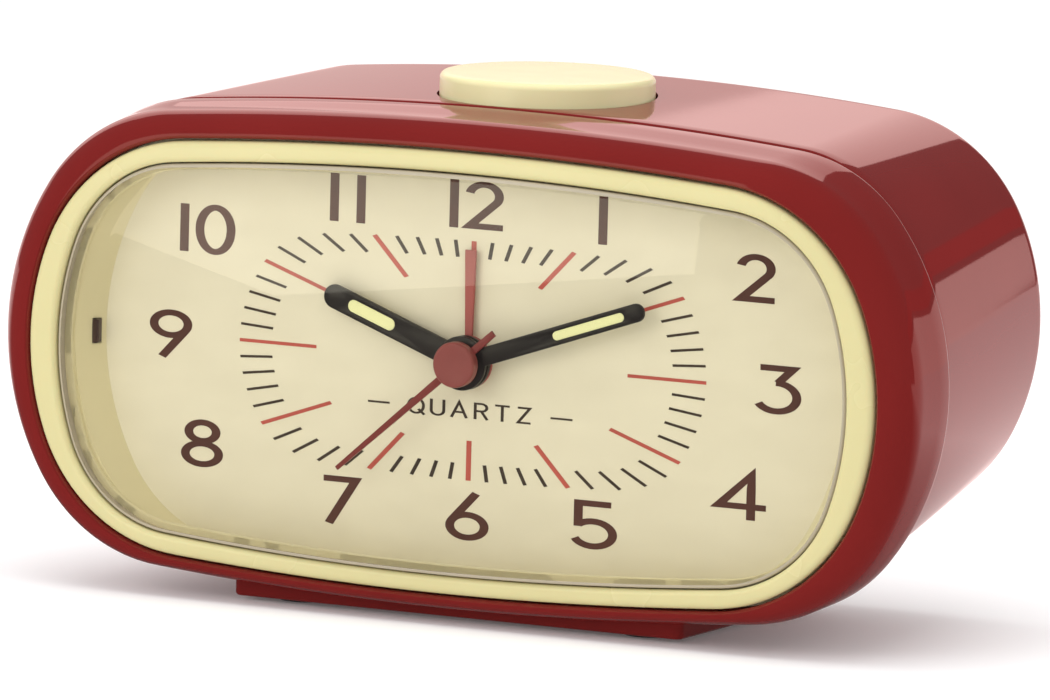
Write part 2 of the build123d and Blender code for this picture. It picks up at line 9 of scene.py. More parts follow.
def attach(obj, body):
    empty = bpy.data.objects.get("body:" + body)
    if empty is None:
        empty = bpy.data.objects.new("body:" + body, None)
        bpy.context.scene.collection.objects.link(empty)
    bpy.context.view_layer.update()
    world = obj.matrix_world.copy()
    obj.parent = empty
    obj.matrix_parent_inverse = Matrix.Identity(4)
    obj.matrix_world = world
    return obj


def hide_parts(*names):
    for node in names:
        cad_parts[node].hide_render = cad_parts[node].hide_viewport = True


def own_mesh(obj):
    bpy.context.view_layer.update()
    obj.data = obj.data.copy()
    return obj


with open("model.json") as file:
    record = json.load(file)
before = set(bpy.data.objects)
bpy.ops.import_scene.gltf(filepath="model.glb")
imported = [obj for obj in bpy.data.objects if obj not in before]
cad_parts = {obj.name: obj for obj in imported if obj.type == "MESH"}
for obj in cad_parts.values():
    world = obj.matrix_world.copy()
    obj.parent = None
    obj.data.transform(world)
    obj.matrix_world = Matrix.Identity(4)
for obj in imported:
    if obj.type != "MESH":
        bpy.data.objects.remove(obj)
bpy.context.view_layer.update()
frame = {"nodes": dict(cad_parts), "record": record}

# Looks of a battery-driven travel alarm clock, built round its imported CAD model.
# Shapes are worked out in millimetres from the hub: the axis of the hands, where it meets
# the dial's front face. Depth y grows away from the viewer. They become metres in make_piece().
MM = 0.001

# ---------------------------------------------------------------- driving dimensions, as in the CAD
HUB_Z = 36.2
DIAL_Y = -21.25
FRONT_Y = -9.0

# Ovals of tangent arcs: half width, half height, top arc, side arc and corner radii, centre height.
BEZEL_FRONT = (70.9, 34.1, 530, 38.5, 25.5, -0.65)
BEZEL_BACK = (71.5, 34.3, 520, 38.0, 22.5, 0.70)
TRIM_OUTER = (65.7, 30.8, 530, 37.5, 24.5, -0.90)
TRIM_INNER = (61.6, 28.1, 490, 42.0, 18.5, -1.05)
LENS_OUTER = (61.4, 27.9, 490, 41.8, 18.3, -1.05)
LENS_RIM_INNER = (60.0, 26.7, 488, 40.6, 17.1, -1.05)
CAVITY = (68.1, 32.1, 520, 38.0, 24.0, 0.30)
SURROUND_OUTER = (67.9, 31.9, 520, 37.8, 23.8, 0.30)
SURROUND_MOUTH = (60.2, 26.9, 488, 40.4, 17.0, -1.05)
RECESS_FRONT = (60.2, 30.2, 500, 40.0, 22.0, 0.0)
RECESS_BACK = (57.7, 30.2, 500, 38.0, 20.0, 0.0)
SPIGOT = (67.8, 31.8, 520, 37.7, 23.7, 0.30)
SHELL_FRONT = (70.0, 33.65, 510, 36.2, 19.5, 1.35)
SHELL_BACK = (65.9, 30.5, 465, 34.0, 24.0, 5.75)
INNER_FRONT = (66.0, 30.0, 508, 36.0, 20.0, 0.30)
INNER_BACK = (63.6, 28.2, 463, 32.0, 22.0, 5.75)

BEZEL_Y = -7.9
TRIM_FRONT = -8.3
LIP_FRONT = -5.4
LIP_BACK = -4.6
SKIRT_Y = -3.0          # where the bezel's round front meets its straight skirt
TRIM_GAP = 0.3
SEAM_BEZEL = 4.7
SEAM_SHELL = 5.2
SEAM_ROUND = 0.8        # radius of the bezel's back edge at the seam
SHELL_EDGE = 0.5        # radius of the shell's front edge at the seam
SPIGOT_Y = 1.6          # front of the shell's spigot, which stands inside the bezel
SHELL_REAR = 46.8
REAR_ROUND = 2.1
SHELL_BACK_Y = 44.0     # depth of the SHELL_BACK and INNER_BACK ovals
LENS_T = 1.5
LENS_SPHERE = 1265.0
LENS_EDGE = 0.5         # radius of the pane's eased edge, which carries painted refraction: an opaque grey standing in for what the clear rim shows
LENS_RISE = LENS_OUTER[5]

HOUR_ANGLE, HOUR_Y = 290.2, (-2.1, -1.6)
MINUTE_ANGLE, MINUTE_Y = 71.0, (-3.2, -2.7)
SECOND_ANGLE, SECOND_Y = 229.0, (-4.2, -3.8)
ALARM_ANGLE, ALARM_Y = 0.0, (-1.1, -0.7)
CAP_Y = (-5.6, -4.2)
ARBOR_R, MINUTE_R, HOUR_R, ALARM_R = 0.55, 1.25, 2.0, 2.82

BUTTON_Y = 21.2
BUTTON_R = 15.1
BUTTON_GAP = 0.35
BUTTON_WALL = 1.6
BUTTON_HUB_R = 5.6      # the boss under the middle of the cap
BUTTON_STEM_R = 2.5
STEM_FOOT = 25.0
BUTTON_TOP = 38.6
BUTTON_UNDER = 32.4
BRIDGE_TOP = 28.0       # the seat of the button's spring

# ---------------------------------------------------------------- the print on the dial
# The dial is drawn on a plain upright dial, then widened by this much, as the case is.
WIDEN = 1.645
TRACK = (22.14, 16.74, 132.0, 30.0, 7.0, 0.0)   # the oval that the minute track's outer ends lie on
HOUR_TICK_TO = 0.667    # inner end of an hour tick, as a share of its outer end
MINUTE_TICK_TO = 0.86
HOUR_TICK_W = 0.475
MINUTE_TICK_W = 0.35
PRINT_T = 0.03          # how far the print stands off the dial
DIGIT_HALF = 3.35       # half the height of a numeral
DIGIT_STROKE = 0.25     # stroke width, as a share of that
NUMERAL_SPOTS = {12: (0.0, 21.8), 1: (19.9, 21.2), 2: (42.0, 15.1), 3: (47.4, 0.0)}


# ---------------------------------------------------------------- mesh helpers
def oval_points(shape):
    """An oval's outline, clockwise from the top, as (x, z) pairs. Every oval has the same count."""
    half_w, half_h, top_r, side_r, corner_r, rise = shape
    top, side = Vector((0, half_h - top_r)), Vector((half_w - side_r, 0))
    gap = side - top
    span, along = gap.length, gap.normalized()
    reach_top, reach_side = top_r - corner_r, side_r - corner_r
    foot = (reach_top ** 2 - reach_side ** 2 + span ** 2) / (2 * span)
    off = sqrt(reach_top ** 2 - foot ** 2)
    corner = top + along * foot + Vector((along.y, -along.x)) * off
    turn_a = atan2(*(corner - top))
    turn_b = atan2(*(corner - side))
    quarter = []
    for centre, radius, start, end, steps in (
        (top, top_r, 0.0, turn_a, 18),
        (corner, corner_r, turn_a, turn_b, 22),
        (side, side_r, turn_b, pi / 2, 12),
    ):
        for k in range(steps):
            turn = start + (end - start) * k / steps
            quarter.append((centre.x + radius * sin(turn), centre.y + radius * cos(turn)))
    quarter.append((half_w, 0.0))
    right = quarter + [(x, -z) for x, z in reversed(quarter[:-1])]
    whole = right + [(-x, z) for x, z in reversed(right[1:-1])]
    return [(x, z + rise) for x, z in whole]


def grown(shape, by):
    """The parallel oval that lies outside this one by so many millimetres."""
    return tuple(v + by for v in shape[:5]) + shape[5:]


def between(a, b, share):
    return tuple(p + (q - p) * share for p, q in zip(a, b))


def bezel_skin(y):
    return between(BEZEL_FRONT, BEZEL_BACK, (y - BEZEL_Y) / (SEAM_BEZEL - BEZEL_Y))


def shell_skin(y):
    return between(SHELL_FRONT, SHELL_BACK, (y - SEAM_SHELL) / (SHELL_BACK_Y - SEAM_SHELL))


def shell_lining(y):
    return between(INNER_FRONT, INNER_BACK, (y - SPIGOT_Y) / (SHELL_BACK_Y - SPIGOT_Y))


def ring(shape, y):
    """One row of a loft: an oval at depth y."""
    return [(x, y, z) for x, z in oval_points(shape)]


def loft(rows, closed=True):
    """Points and faces of a skin through rows of equal length, each a closed loop."""
    count = len(rows[0])
    points = [p for row in rows for p in row]
    faces = []
    for r in range(len(rows) if closed else len(rows) - 1):
        near, far = r * count, (r + 1) % len(rows) * count
        for k in range(count):
            n = (k + 1) % count
            faces.append((near + k, near + n, far + n, far + k))
    return points, faces


def turned(profile, steps=96):
    """Rows of a solid of revolution about the hub's depth axis, from (radius, y) pairs."""
    turns = [2 * pi * k / steps for k in range(steps)]
    return [[(r * sin(t), y, r * cos(t)) for t in turns] for r, y in profile]


def capped(rows):
    """A loft closed at both ends by fans to the middle of the end rows."""
    points, faces = loft(rows, closed=False)
    count = len(rows[0])
    for row, first in ((rows[0], 0), (rows[-1], (len(rows) - 1) * count)):
        middle = [sum(p[axis] for p in row) / count for axis in range(3)]
        points.append(tuple(middle))
        faces += [(first + k, first + (k + 1) % count, len(points) - 1) for k in range(count)]
    return points, faces


def make_piece(name, points, faces, material, crease=32):
    """A smooth-shaded mesh object, its points moved from the hub's frame into the clock's."""
    mesh = bpy.data.meshes.new(name)
    mesh.from_pydata([(x * MM, (y + DIAL_Y) * MM, (z + HUB_Z) * MM) for x, y, z in points], [], faces)
    finish_mesh(mesh, crease)
    mesh.materials.append(material)
    made = bpy.data.objects.new(name, mesh)
    bpy.context.collection.objects.link(made)
    return made


def finish_mesh(mesh, crease):
    """Merges doubles, turns every face outwards and shades smooth up to the crease angle."""
    work = bmesh.new()
    work.from_mesh(mesh)
    bmesh.ops.remove_doubles(work, verts=work.verts, dist=1e-7)
    bmesh.ops.recalc_face_normals(work, faces=work.faces)
    work.to_mesh(mesh)
    work.free()
    mesh.shade_smooth()
    mesh.set_sharp_from_angle(angle=radians(crease))


def carve(made, cutter, crease=32):
    """Cuts one closed mesh out of another and throws the cutter away."""
    step = made.modifiers.new("carve", "BOOLEAN")
    step.operation, step.solver, step.object = "DIFFERENCE", "EXACT", cutter
    graph = bpy.context.evaluated_depsgraph_get()
    cut = bpy.data.meshes.new_from_object(made.evaluated_get(graph))
    made.modifiers.remove(step)
    made.data = cut
    bpy.data.objects.remove(cutter)
    finish_mesh(cut, crease)


def block_piece(name, low, high, material):
    """A box between two corners, only ever used as a cutter."""
    points = [(x, y, z) for x in (low[0], high[0]) for y in (low[1], high[1]) for z in (low[2], high[2])]
    faces = [(0, 1, 3, 2), (4, 6, 7, 5), (0, 4, 5, 1), (2, 3, 7, 6), (0, 2, 6, 4), (1, 5, 7, 3)]
    return make_piece(name, points, faces, material)


def settle(made, body, slot, *nodes):
    """The piece rides on a body and stands for CAD nodes. Its slot argument is not used."""
    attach(made, body)
    if nodes:
        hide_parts(*nodes)
    return made


# ---------------------------------------------------------------- material helpers
def new_material(name):
    made = bpy.data.materials.new(name)
    made.use_nodes = True
    return made, made.node_tree, made.node_tree.nodes["Principled BSDF"]


def add(tree, kind, **values):
    """A node, with input values by name and other settings as attributes."""
    node = tree.nodes.new(kind)
    for key, value in values.items():
        if key in node.inputs:
            node.inputs[key].default_value = value
        else:
            setattr(node, key, value)
    return node


def grain(tree, scale, detail=3.0, stretch=(1, 1, 1)):
    """Noise in object space, its scale in features per metre."""
    where = add(tree, "ShaderNodeTexCoord")
    place = add(tree, "ShaderNodeMapping", Scale=stretch)
    noise = add(tree, "ShaderNodeTexNoise", Scale=scale, Detail=detail)
    tree.links.new(where.outputs["Object"], place.inputs["Vector"])
    tree.links.new(place.outputs["Vector"], noise.inputs["Vector"])
    return noise.outputs["Fac"]


def graded(tree, source, low, high, start=0.3, end=0.7):
    """A value that runs from low to high as the source runs from start to end."""
    step = add(tree, "ShaderNodeMapRange")
    for socket, value in zip(step.inputs[1:5], (start, end, low, high)):
        socket.default_value = value
    tree.links.new(source, step.inputs["Value"])
    return step.outputs["Result"]


def tinted(tree, source, first, second, start=0.3, end=0.7):
    """A colour that runs from first to second as the source runs from start to end."""
    ramp = add(tree, "ShaderNodeValToRGB")
    ramp.color_ramp.elements[0].position, ramp.color_ramp.elements[1].position = start, end
    ramp.color_ramp.elements[0].color = (*first, 1)
    ramp.color_ramp.elements[1].color = (*second, 1)
    tree.links.new(source, ramp.inputs["Fac"])
    return ramp.outputs["Color"]


def bumped(tree, shader, layers):
    """Chains bumps, each a height source and a depth in millimetres, into the shader's normal."""
    normal = None
    for source, depth in layers:
        bump = add(tree, "ShaderNodeBump", Strength=1.0, Distance=depth * MM)
        tree.links.new(source, bump.inputs["Height"])
        if normal:
            tree.links.new(normal, bump.inputs["Normal"])
        normal = bump.outputs["Normal"]
    tree.links.new(normal, shader.inputs["Normal"])


def shades(colour, spread):
    """A slightly darker and a slightly lighter version of a colour."""
    return tuple(c * (1 - spread) for c in colour), tuple(min(1.0, c * (1 + spread)) for c in colour)


def moulded(name, colour, rough, spread=0.05, ripple=0.0012, tooth=0.0006, tooth_scale=2600.0, **sockets):
    """Moulded plastic or paint: faint flow marks, a rippled skin of uneven gloss, and fine tooth."""
    made, tree, shader = new_material(name)
    flow = grain(tree, 45.0, 2.0)
    skin = grain(tree, 150.0, 1.0)
    fine = grain(tree, tooth_scale, 4.0)
    tree.links.new(tinted(tree, flow, *shades(colour, spread)), shader.inputs["Base Color"])
    tree.links.new(graded(tree, skin, rough * 0.93, rough * 1.08), shader.inputs["Roughness"])
    bumped(tree, shader, ((skin, ripple), (fine, tooth)))
    for key, value in sockets.items():
        shader.inputs[key.replace("_", " ")].default_value = value
    return made


def brushed(name, colour, rough, stretch=(1, 1, 30)):
    """Metal with a drawn or brushed grain."""
    made, tree, shader = new_material(name)
    lines = grain(tree, 700.0, 5.0, stretch)
    tree.links.new(tinted(tree, lines, *shades(colour, 0.12)), shader.inputs["Base Color"])
    tree.links.new(graded(tree, lines, rough * 0.7, rough * 1.4), shader.inputs["Roughness"])
    bumped(tree, shader, ((lines, 0.004),))
    shader.inputs["Metallic"].default_value = 1.0
    return made


# ---------------------------------------------------------------- materials
def red_plastic():
    return moulded("red_plastic", (0.175, 0.0135, 0.0125), 0.05, spread=0.05, ripple=0.0007,
                   Specular_Tint=(1.0, 0.70, 0.67, 1))


def cream_plastic():
    return moulded("cream_plastic", (0.79, 0.73, 0.415), 0.24, spread=0.02, ripple=0.0006, tooth=0.00015,
                   Subsurface_Weight=0.08, Subsurface_Scale=0.0015)


# The same cream plastic as the button, in a darker copy of its colour: painted shade on the trim ring.
def trim_plastic():
    return moulded("trim_plastic", (0.65, 0.585, 0.30), 0.26, spread=0.02, ripple=0.0006, tooth=0.00015,
                   Subsurface_Weight=0.08, Subsurface_Scale=0.0015)


def wall_plastic():
    return moulded("wall_plastic", (0.72, 0.65, 0.41), 0.34, spread=0.05)


def dial_card():
    """Satin card: a soft fibre mottle under a fine screen-printed tooth."""
    made, tree, shader = new_material("dial_card")
    mottle = grain(tree, 90.0, 5.0, (1, 1, 2.5))
    fine = grain(tree, 3500.0, 3.0)
    colour = tinted(tree, mottle, (0.745, 0.69, 0.525), (0.78, 0.725, 0.555), 0.35, 0.65)
    tree.links.new(colour, shader.inputs["Base Color"])
    tree.links.new(graded(tree, fine, 0.48, 0.62), shader.inputs["Roughness"])
    bumped(tree, shader, ((fine, 0.003),))
    return made


def clear_plastic():
    """A thin polished pane: clear straight through, with a mirror skin on the face one looks at."""
    made = bpy.data.materials.new("clear_plastic")
    made.use_nodes = True
    tree = made.node_tree
    tree.nodes.remove(tree.nodes["Principled BSDF"])
    clear = add(tree, "ShaderNodeBsdfTransparent", Color=(0.985, 0.98, 0.955, 1))
    mirror = add(tree, "ShaderNodeBsdfGlossy", Color=(1, 1, 1, 1))
    smear = grain(tree, 60.0, 3.0)
    tree.links.new(graded(tree, smear, 0.0, 0.03), mirror.inputs["Roughness"])
    skin = add(tree, "ShaderNodeFresnel", IOR=1.6)
    side = add(tree, "ShaderNodeNewGeometry")
    facing = add(tree, "ShaderNodeMath", operation="SUBTRACT", use_clamp=True)
    tree.links.new(skin.outputs["Fac"], facing.inputs[0])
    tree.links.new(side.outputs["Backfacing"], facing.inputs[1])
    blend = add(tree, "ShaderNodeMixShader")
    tree.links.new(facing.outputs[0], blend.inputs["Fac"])
    tree.links.new(clear.outputs["BSDF"], blend.inputs[1])
    tree.links.new(mirror.outputs["BSDF"], blend.inputs[2])
    tree.links.new(blend.outputs["Shader"], tree.nodes["Material Output"].inputs["Surface"])
    return made


def circuit():
    """Green solder mask over etched tracks."""
    made, tree, shader = new_material("circuit")
    where = add(tree, "ShaderNodeTexCoord")
    tracks = add(tree, "ShaderNodeTexVoronoi", Scale=420.0, feature="DISTANCE_TO_EDGE")
    tree.links.new(where.outputs["Object"], tracks.inputs["Vector"])
    edge = tracks.outputs["Distance"]
    tree.links.new(tinted(tree, edge, (0.10, 0.32, 0.12), (0.03, 0.15, 0.06), 0.06, 0.10),
                   shader.inputs["Base Color"])
    tree.links.new(graded(tree, grain(tree, 900.0), 0.25, 0.42), shader.inputs["Roughness"])
    bumped(tree, shader, ((graded(tree, edge, 1.0, 0.0, 0.06, 0.10), 0.02),))
    return made


def copper():
    """Enamelled wire, wound in fine turns."""
    made, tree, shader = new_material("copper")
    where = add(tree, "ShaderNodeTexCoord")
    turns = add(tree, "ShaderNodeTexWave", Scale=900.0, Distortion=0.6, bands_direction="Z")
    tree.links.new(where.outputs["Object"], turns.inputs["Vector"])
    wire = turns.outputs["Fac"]
    tree.links.new(tinted(tree, wire, (0.22, 0.07, 0.03), (0.62, 0.26, 0.12)), shader.inputs["Base Color"])
    tree.links.new(graded(tree, wire, 0.5, 0.28), shader.inputs["Roughness"])
    bumped(tree, shader, ((wire, 0.05),))
    shader.inputs["Metallic"].default_value = 0.8
    return made


def battery_jacket():
    """A grey film jacket with a pale band towards one end."""
    made, tree, shader = new_material("battery_jacket")
    where = add(tree, "ShaderNodeTexCoord")
    axes = add(tree, "ShaderNodeSeparateXYZ")
    tree.links.new(where.outputs["Object"], axes.inputs["Vector"])
    colour = tinted(tree, axes.outputs["X"], (0.08, 0.10, 0.12), (0.55, 0.56, 0.55), 0.0145, 0.0150)
    tree.links.new(colour, shader.inputs["Base Color"])
    tree.links.new(graded(tree, grain(tree, 500.0), 0.22, 0.36), shader.inputs["Roughness"])
    bumped(tree, shader, ((grain(tree, 260.0), 0.01),))
    return made


MATERIALS = {
    "red_plastic": red_plastic(),
    "cream_plastic": cream_plastic(),
    "trim_plastic": trim_plastic(),
    "wall_plastic": wall_plastic(),
    "dial_card": dial_card(),
    "clear_plastic": clear_plastic(),
    "circuit": circuit(),
    "copper": copper(),
    "battery_jacket": battery_jacket(),
    # Painted refraction: an opaque grey on the lens's clear rim, standing in for the grey that refraction
    # shows there.
    "painted_rim_grey": moulded("painted_rim_grey", (0.46, 0.40, 0.30), 0.5, spread=0.06, tooth=0.004),
    "smoked_lamp": moulded("smoked_lamp", (0.06, 0.035, 0.03), 0.16, spread=0.15),
    "rubber": moulded("rubber", (0.025, 0.025, 0.025), 0.75, spread=0.15, tooth=0.01),
    "black_plastic": moulded("black_plastic", (0.018, 0.018, 0.018), 0.42, spread=0.15, tooth=0.006),
    "white_plastic": moulded("white_plastic", (0.78, 0.78, 0.73), 0.38, spread=0.03, tooth=0.002),
    "magnet": moulded("magnet", (0.08, 0.08, 0.085), 0.5, spread=0.2, tooth=0.004),
    "steel": brushed("steel", (0.62, 0.62, 0.60), 0.24),
    "brass": brushed("brass", (0.72, 0.55, 0.24), 0.26),
    "black_paint": moulded("black_paint", (0.016, 0.015, 0.014), 0.30, spread=0.2, tooth=0.001),
    "lume": moulded("lume", (0.80, 0.80, 0.42), 0.65, spread=0.05, tooth=0.006, tooth_scale=4200.0),
    "red_paint": moulded("red_paint", (0.20, 0.032, 0.028), 0.32, spread=0.1, tooth=0.001),
    "cap_paint": moulded("cap_paint", (0.235, 0.055, 0.05), 0.30, spread=0.06, tooth=0.001),
    "alarm_paint": moulded("alarm_paint", (0.36, 0.075, 0.065), 0.34, spread=0.06, tooth=0.001),
    "print_brown": moulded("print_brown", (0.095, 0.030, 0.020), 0.55, spread=0.15, tooth=0.001),
    "print_dark": moulded("print_dark", (0.055, 0.036, 0.024), 0.55, spread=0.2, tooth=0.001),
    "print_red": moulded("print_red", (0.50, 0.085, 0.06), 0.55, spread=0.1, tooth=0.001),
}


# ---------------------------------------------------------------- case
def front_bezel():
    """A generous quarter-round front from the trim ring's gap out to a straight skirt."""
    hole, hole_edge = grown(TRIM_OUTER, TRIM_GAP), -7.3
    rows = [ring(hole, LIP_FRONT), ring(hole, hole_edge), ring(grown(hole, 0.12), hole_edge - 0.32)]
    inner, depth, steps = grown(hole, 0.45), SKIRT_Y - BEZEL_Y, 18
    for k in range(steps + 1):
        turn = pi / 2 * k / steps
        rows.append(ring(between(inner, bezel_skin(SKIRT_Y), sin(turn)), SKIRT_Y - depth * cos(turn)))
    rows += [ring(bezel_skin(y), y) for y in (-1.0, 1.4, SEAM_BEZEL - SEAM_ROUND)]
    for turn in (22.5, 45, 67.5, 90):
        y = SEAM_BEZEL - SEAM_ROUND * (1 - sin(radians(turn)))
        rows.append(ring(grown(bezel_skin(y), -SEAM_ROUND * (1 - cos(radians(turn)))), y))
    rows += [ring(CAVITY, SEAM_BEZEL), ring(CAVITY, LIP_FRONT)]
    made = make_piece("bezel_moulding", *loft(rows), MATERIALS["red_plastic"])
    return settle(made, "case", "red_plastic", "front_bezel")


def body_shell():
    """A tapering body with an eased front edge, a rounded rear edge and the button's hole."""
    rows = []
    for turn in (90, 60, 30, 0):
        y = SEAM_SHELL + SHELL_EDGE * (1 - sin(radians(turn)))
        rows.append(ring(grown(shell_skin(y), -SHELL_EDGE * (1 - cos(radians(turn)))), y))
    round_y = SHELL_REAR - REAR_ROUND
    rows += [ring(shell_skin(y), y) for y in range(8, int(round_y) + 1, 3)]
    steps = 9
    for k in range(steps + 1):
        turn = pi / 2 * k / steps
        y = round_y + REAR_ROUND * sin(turn)
        rows.append(ring(grown(shell_skin(y), -REAR_ROUND * (1 - cos(turn))), y))
    rows += [ring(shell_lining(y), y) for y in (SHELL_REAR, 30.0, 15.0, SPIGOT_Y)]
    rows += [ring(SPIGOT, SPIGOT_Y), ring(SPIGOT, SEAM_SHELL)]
    made = make_piece("body_moulding", *loft(rows), MATERIALS["red_plastic"])
    carve(made, upright_drum("button_cut", BUTTON_R + BUTTON_GAP, 26.0, 44.0))
    return settle(made, "case", "red_plastic", "body_shell")


def upright_drum(name, radius, low, high):
    """An upright cylinder through the top of the body, used as a cutter."""
    rows = turned([(radius, low), (radius, high)], 128)
    points, faces = capped(rows)
    points = [(x, BUTTON_Y + z, y) for x, y, z in points]
    return make_piece(name, points, faces, MATERIALS["red_plastic"])


def trim_ring():
    """The cream ring round the lens: a soft shoulder outside and a tighter one inside."""
    outside, inside = 1.1, 0.8
    turns = [pi / 2 * k / 8 for k in range(9)]
    rows = [ring(TRIM_OUTER, LIP_FRONT)]
    for turn in turns:
        y = TRIM_FRONT + outside * (1 - sin(turn))
        rows.append(ring(grown(TRIM_OUTER, -outside * (1 - cos(turn))), y))
    for turn in turns:
        y = TRIM_FRONT + inside * (1 - cos(turn))
        rows.append(ring(grown(TRIM_INNER, inside * (1 - sin(turn))), y))
    rows.append(ring(TRIM_INNER, LIP_FRONT))
    # The ring takes the darker copy of the cream plastic, which is painted shade.
    made = make_piece("trim_moulding", *loft(rows), MATERIALS["trim_plastic"])
    return settle(made, "case", "cream_plastic", "trim_ring")


def crown(x, z, depth=0.0):
    """Depth of the lens's front sphere at (x, z), or of the parallel one so far behind it."""
    reach = LENS_SPHERE - depth
    return FRONT_Y + LENS_SPHERE - sqrt(reach ** 2 - x ** 2 - (z - LENS_RISE) ** 2)


def lens():
    """A domed pane with a skirt that stands on the lip of the dial surround. Its eased edge and the
    skirt's outer wall are painted an opaque grey that stands in for refraction in the clear rim.
    """
    outline, mouth = oval_points(LENS_OUTER), oval_points(LENS_RIM_INNER)
    inside = oval_points(grown(LENS_OUTER, -LENS_EDGE))
    rings = 12
    rows = []
    for share in [k / rings for k in range(1, rings)]:
        rows.append([(x * share, crown(x * share, z * share), z * share) for x, z in inside])
    for inset in (LENS_EDGE, 0.22, 0.06):
        near = oval_points(grown(LENS_OUTER, -inset))
        sunk = LENS_EDGE - sqrt(LENS_EDGE ** 2 - (LENS_EDGE - inset) ** 2)
        rows.append([(x, crown(x, z) + sunk, z) for x, z in near])
    rows.append([(x, crown(x, z) + LENS_EDGE, z) for x, z in outline])
    skirt = len(rows) - 1
    rows += [ring(LENS_OUTER, LIP_FRONT), ring(LENS_RIM_INNER, LIP_FRONT)]
    for share in [k / rings for k in range(rings, 0, -1)]:
        rows.append([(x * share, crown(x * share, z * share, LENS_T), z * share) for x, z in mouth])
    points, faces = capped(rows)
    made = make_piece("lens_dome", points, faces, MATERIALS["clear_plastic"])
    # The eased edge and the skirt's outer wall take that painted grey, which stands in for refraction.
    made.data.materials.append(MATERIALS["painted_rim_grey"])
    painted_rim_rows = set(range(skirt - 3, skirt + 2))
    for face in made.data.polygons:
        if {point // len(outline) for point in face.vertices} <= painted_rim_rows:
            face.material_index = 1
    return settle(made, "case", "clear_plastic", "lens")


def dial_surround():
    """The frame behind the lens: a narrow lip, then a recess that widens behind it."""
    ease, steps = 0.15, 6
    rows = [ring(SURROUND_OUTER, LIP_FRONT), ring(grown(SURROUND_MOUTH, ease), LIP_FRONT)]
    rows += [ring(SURROUND_MOUTH, LIP_FRONT + ease), ring(SURROUND_MOUTH, LIP_BACK)]
    for share in [k / steps for k in range(steps + 1)]:
        rows.append(ring(between(RECESS_FRONT, RECESS_BACK, share), LIP_BACK * (1 - share)))
    rows.append(ring(SURROUND_OUTER, 0.0))
    made = make_piece("surround_moulding", *loft(rows), MATERIALS["wall_plastic"])
    low, high = (-64.0, -2.1, -2.2), (-55.0, -0.7, 1.4)
    carve(made, block_piece("lamp_cut", low, high, MATERIALS["wall_plastic"]))
    return settle(made, "case", "cream_plastic", "dial_surround")


def snooze_button():
    """A wide low cap: a faintly domed top, a soft shoulder and a hollow underside with its stem."""
    axis, dome, shoulder, ease = 0.001, 0.22, 0.95, 0.2
    ceiling, top = BUTTON_TOP - 2.0, BUTTON_TOP - 0.24
    profile = [(axis, BUTTON_TOP)]
    profile += [(r, BUTTON_TOP - dome * (r / 14.0) ** 2) for r in (3.0, 6.0, 9.0, 11.5, 13.4)]
    for turn in [pi / 2 * k / 8 for k in range(9)]:
        profile.append((BUTTON_R - shoulder * (1 - sin(turn)), top - shoulder * (1 - cos(turn))))
    inner, stem = BUTTON_R - BUTTON_WALL, BUTTON_STEM_R
    profile += [(BUTTON_R, BUTTON_UNDER + ease), (BUTTON_R - ease, BUTTON_UNDER)]
    profile += [(inner, BUTTON_UNDER), (inner, ceiling)]
    profile += [(BUTTON_HUB_R, ceiling), (BUTTON_HUB_R, BUTTON_UNDER), (stem, BUTTON_UNDER)]
    profile += [(stem, STEM_FOOT + 0.3), (stem - 0.3, STEM_FOOT), (axis, STEM_FOOT)]
    points, faces = capped(turned(profile, 128))
    points = [(x, BUTTON_Y + z, y) for x, y, z in points]
    made = make_piece("button_cap", points, faces, MATERIALS["cream_plastic"])
    return settle(made, "button", "cream_plastic", "snooze_button")


def button_spring():
    """The coil under the button, built at one length as a fixed mesh on the case."""
    wire, radius, turns, steps, slack = 0.25, 3.9, 3.5, 140, 0.1
    height = BUTTON_UNDER - BRIDGE_TOP
    section = [2 * pi * n / 10 for n in range(10)]
    rows = []
    for k in range(steps + 1):
        turn = 2 * pi * turns * k / steps
        middle = BRIDGE_TOP + wire + (height - 2 * wire) * k / steps
        reach = [(radius + wire * cos(t), middle + wire * sin(t)) for t in section]
        rows.append([(r * cos(turn), BUTTON_Y + r * sin(turn), z) for r, z in reach])
    made = make_piece("button_coil", *capped(rows), MATERIALS["steel"])
    settle(made, "case", "steel", "button_spring")
    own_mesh(made)


# ---------------------------------------------------------------- flat sheet parts
def circle_loop(radius, steps=48):
    turns = [2 * pi * k / steps for k in range(steps)]
    return [(radius * cos(t), radius * sin(t)) for t in turns]


def slot_loop(width, near, far, steps=14):
    """A slot with round ends, pointing up, its end centres at near and far."""
    r = width / 2
    top = [(r * cos(pi * k / steps), far + r * sin(pi * k / steps)) for k in range(steps + 1)]
    foot = [(-r * cos(pi * k / steps), near - r * sin(pi * k / steps)) for k in range(steps + 1)]
    return top + foot


def boss_loop(width, far, boss, steps=14):
    """A hand's outline: a blade with a round end growing out of a round boss."""
    r = width / 2
    blade = [(r * cos(pi * k / steps), far + r * sin(pi * k / steps)) for k in range(steps + 1)]
    open_at = atan2(sqrt(boss ** 2 - r ** 2), r)
    turns = [pi - open_at + (pi + 2 * open_at) * k / 40 for k in range(41)]
    return blade + [(boss * cos(t), boss * sin(t)) for t in turns]


def signed_area(loop):
    pairs = zip(loop, loop[1:] + loop[:1])
    return sum(a[0] * b[1] - b[0] * a[1] for a, b in pairs) / 2


def inset_loop(loop, by):
    """The loop moved towards its left by so much: inwards on a counter-clockwise outline."""
    moved = []
    for k, point in enumerate(loop):
        before, here, after = Vector(loop[k - 1]), Vector(point), Vector(loop[(k + 1) % len(loop)])
        a, b = (here - before).normalized(), (after - here).normalized()
        left = (Vector((-a.y, a.x)) + Vector((-b.y, b.x))).normalized()
        reach = by / max(0.5, left.dot(Vector((-a.y, a.x))))
        moved.append((here.x + left.x * reach, here.y + left.y * reach))
    return moved


